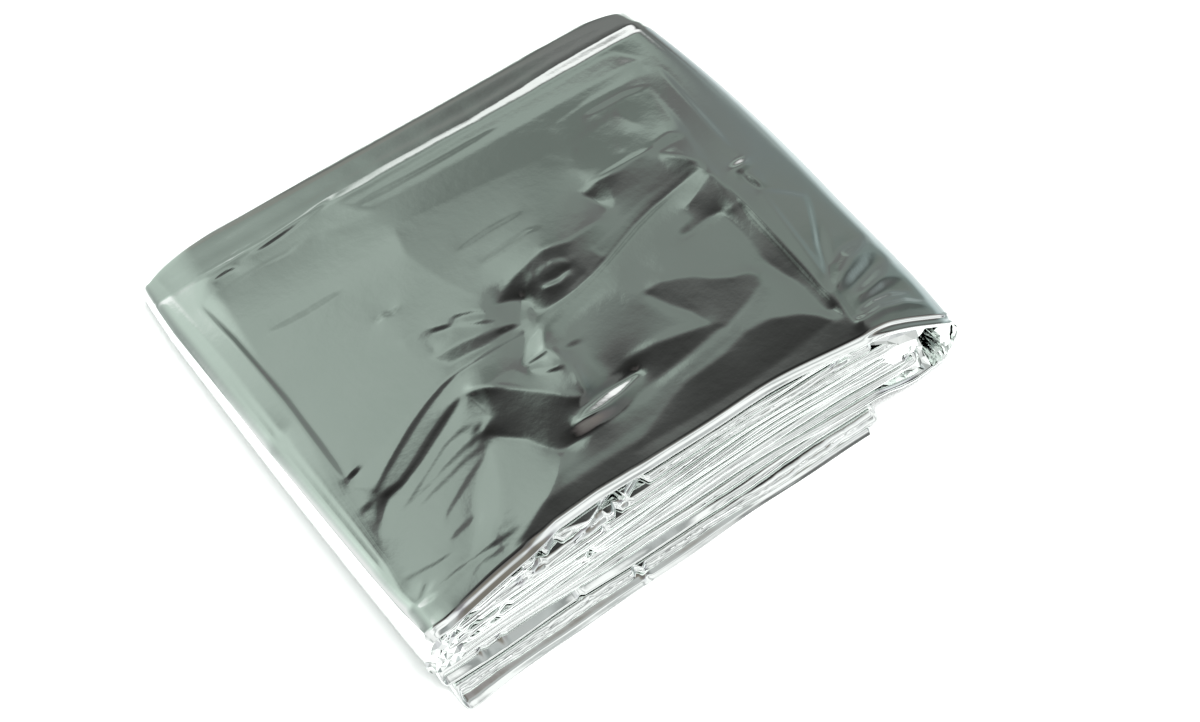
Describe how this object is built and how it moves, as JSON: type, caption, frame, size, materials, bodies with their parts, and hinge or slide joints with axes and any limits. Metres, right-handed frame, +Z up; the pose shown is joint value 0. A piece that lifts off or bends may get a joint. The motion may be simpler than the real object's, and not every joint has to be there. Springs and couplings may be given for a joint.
{
  "type": "folded emergency foil blanket",
  "caption": "Metallised film sheet folded back and forth into a flat wedge-shaped packet, its layered edges fanned out along one long side.",
  "frame": {"origin": "under the middle of the packet's bounding box, on the surface it rests on", "axes": "+X along the packet's longer side, +Y from the layered front side towards the pressed back side, +Z up through the layers"},
  "size_m": [0.1326, 0.1244, 0.0184],
  "materials": {
    "foil": "bright metallised film with fine creases"
  },
  "bodies": {
    "root": {"foil_sheet": "foil"}
  },
  "joints": []
}
